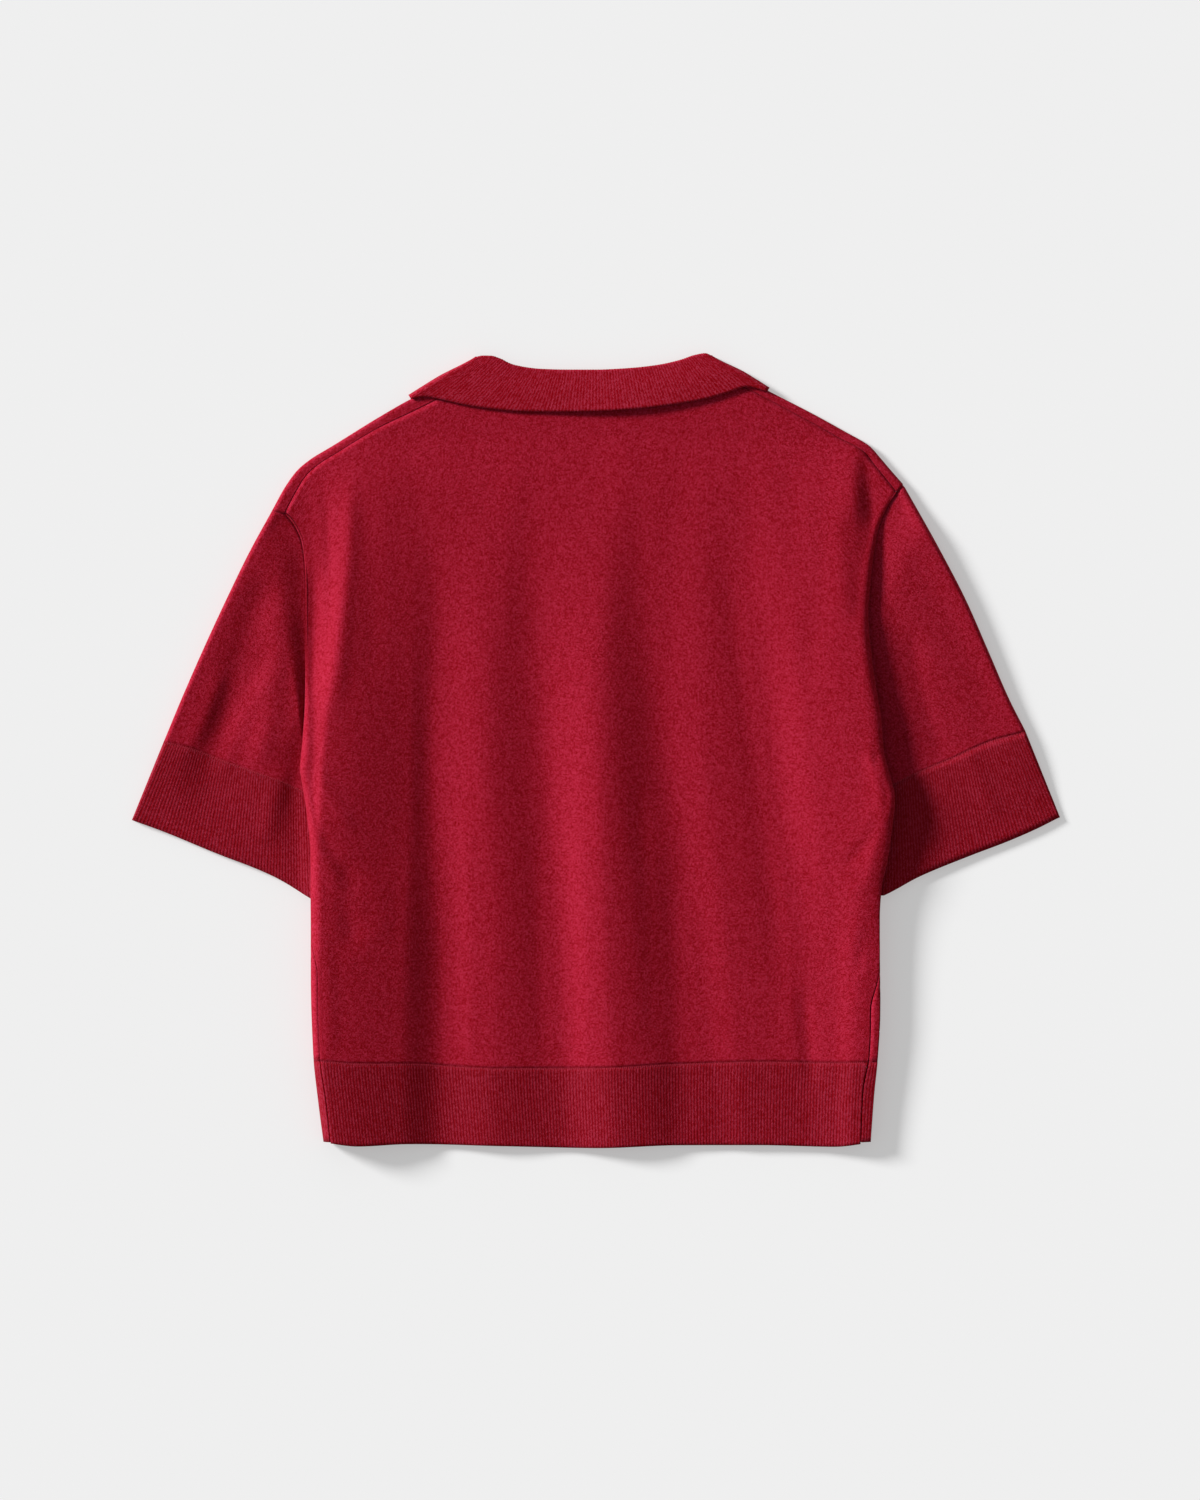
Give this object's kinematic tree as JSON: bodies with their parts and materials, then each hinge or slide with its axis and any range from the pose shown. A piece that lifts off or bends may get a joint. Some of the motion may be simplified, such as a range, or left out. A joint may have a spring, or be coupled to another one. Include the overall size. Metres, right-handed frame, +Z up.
{
  "type": "short-sleeved knitted polo blouse",
  "caption": "Short-sleeved knitted polo blouse in red, lying flat on its front, with ribbed collar, cuffs and hem and soft lengthwise folds.",
  "frame": {"origin": "middle of the plan outline, on the surface that the garment lies on", "axes": "+Z up from that surface to the garment's back, +Y from the hem to the collar, +X to the right as seen from above, across both sleeves"},
  "size_m": [0.7424, 0.6354, 0.027],
  "materials": {
    "plain_knit": "fine plain knit, matt, slightly heathered red with a soft nap",
    "rib_knit": "one-by-one rib knit, matt, slightly darker red"
  },
  "bodies": {
    "root": {"back_panel": "plain_knit", "front_panel": "plain_knit", "left_sleeve": "plain_knit", "right_sleeve": "plain_knit", "back_hem_rib": "rib_knit", "front_hem_rib": "rib_knit", "left_cuff": "rib_knit", "right_cuff": "rib_knit", "collar": "rib_knit"}
  },
  "joints": []
}
